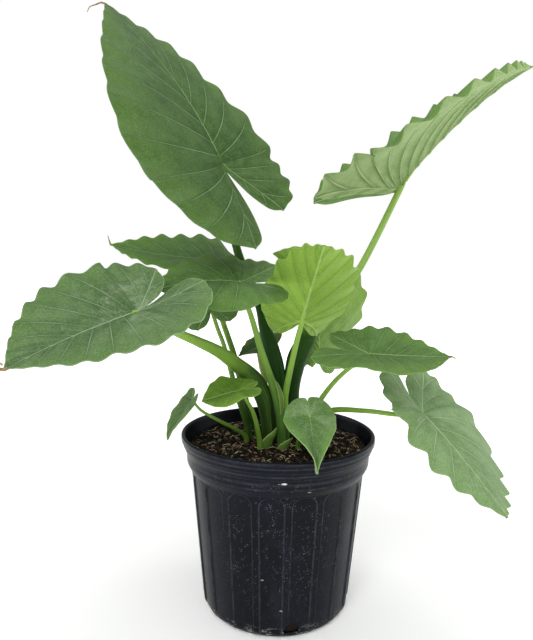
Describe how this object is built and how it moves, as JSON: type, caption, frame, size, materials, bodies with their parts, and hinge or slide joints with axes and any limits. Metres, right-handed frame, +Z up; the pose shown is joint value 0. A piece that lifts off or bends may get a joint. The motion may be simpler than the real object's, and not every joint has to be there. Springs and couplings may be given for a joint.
{
  "type": "potted elephant ear alocasia",
  "caption": "Elephant ear houseplant with large veined arrow-shaped leaves on long stems, growing in a black fluted plastic nursery pot of potting mix.",
  "frame": {"origin": "centre of the pot's underside, on the surface that the pot stands on", "axes": "+Z up along the pot's axis, -Y towards the viewer of the picture, +X to the viewer's right"},
  "size_m": [0.6485, 0.4956, 0.8586],
  "materials": {
    "pot": "satin black moulded polypropylene, dusty and lightly scuffed",
    "soil": "dark damp peat and bark potting mix, crumbly",
    "corm": "brown fibrous corm, buried",
    "leaf_dark": "mature leaf, deep bluish green, semi-gloss, pale veins",
    "leaf_mid": "leaf, mid green, semi-gloss, pale veins",
    "leaf_young": "young leaf, light yellow-green, soft sheen",
    "stem": "fleshy light green petiole, smooth",
    "stem_dark": "fleshy dark green petiole, smooth"
  },
  "bodies": {
    "root": {"pot": "pot", "soil": "soil", "corm": "corm", "blade_tall": "leaf_dark", "blade_high_right": "leaf_mid", "blade_middle": "leaf_dark", "blade_low_left": "leaf_dark", "blade_young": "leaf_young", "blade_behind_young": "leaf_mid", "blade_back_left": "leaf_mid", "blade_under": "leaf_mid", "blade_right": "leaf_dark", "blade_low_right": "leaf_dark", "blade_front": "leaf_mid", "blade_front_left": "leaf_young", "blade_outer_left": "leaf_mid", "blade_small_back": "leaf_dark", "petiole_tall": "stem_dark", "petiole_high_right": "stem_dark", "petiole_middle": "stem", "petiole_low_left": "stem", "petiole_young": "stem", "petiole_behind_young": "stem", "petiole_back_left": "stem", "petiole_under": "stem", "petiole_right": "stem", "petiole_low_right": "stem", "petiole_front": "stem", "petiole_front_left": "stem", "petiole_outer_left": "stem", "petiole_small_back": "stem", "bud": "leaf_young", "stub_left": "leaf_mid", "stub_right": "leaf_young"}
  },
  "joints": []
}
